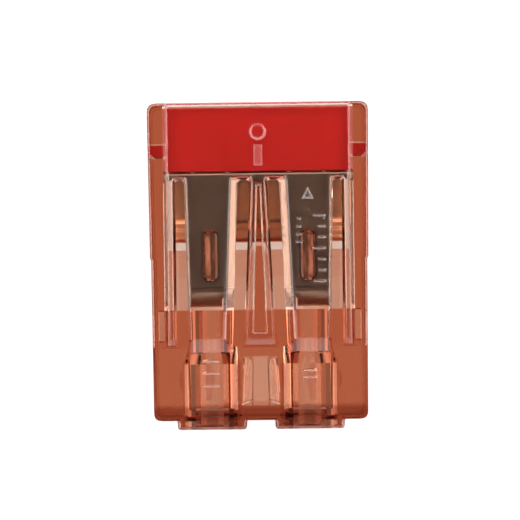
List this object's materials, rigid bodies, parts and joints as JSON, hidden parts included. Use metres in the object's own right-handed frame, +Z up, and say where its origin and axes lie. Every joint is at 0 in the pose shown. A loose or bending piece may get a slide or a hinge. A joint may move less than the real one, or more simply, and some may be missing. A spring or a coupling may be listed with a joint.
{
  "type": "push-in wire connector",
  "caption": "Push-in connector for solid copper wire: clear tinted housing, red snap-in rear cover, copper busbar and sprung steel clamping tongues.",
  "frame": {"origin": "centre of the base face, half-way along the length", "axes": "+Z up through the roof, +Y towards the rear cover, -Y towards the wire entries, +X to the right seen from above with the cover at the far side"},
  "size_m": [0.0142, 0.021, 0.0096],
  "materials": {
    "tinted_polycarbonate": "clear, brown tint, polished",
    "red_polycarbonate": "opaque, satin gloss",
    "copper": "copper bar, satin, slightly browned",
    "spring_steel": "rolled stainless strip, satin"
  },
  "bodies": {
    "shell": {"housing": "tinted_polycarbonate", "rear_cover": "red_polycarbonate", "busbar": "copper", "spring_back": "spring_steel"},
    "tongue_left": {"clamp_tongue_left": "spring_steel"},
    "tongue_right": {"clamp_tongue_right": "spring_steel"}
  },
  "joints": [
    {"name": "clamp_left", "type": "hinge", "parent": "shell", "child": "tongue_left", "pos_m": [-0.00314, -0.00138, 0.00711], "axis": [1, 0, 0], "range_deg": [0, 27], "stiffness_Nm_per_rad": 0.02, "springref_deg": -8.59},
    {"name": "clamp_right", "type": "hinge", "parent": "shell", "child": "tongue_right", "pos_m": [0.00314, -0.00138, 0.00711], "axis": [1, 0, 0], "range_deg": [0, 27], "stiffness_Nm_per_rad": 0.02, "springref_deg": -8.59}
  ]
}
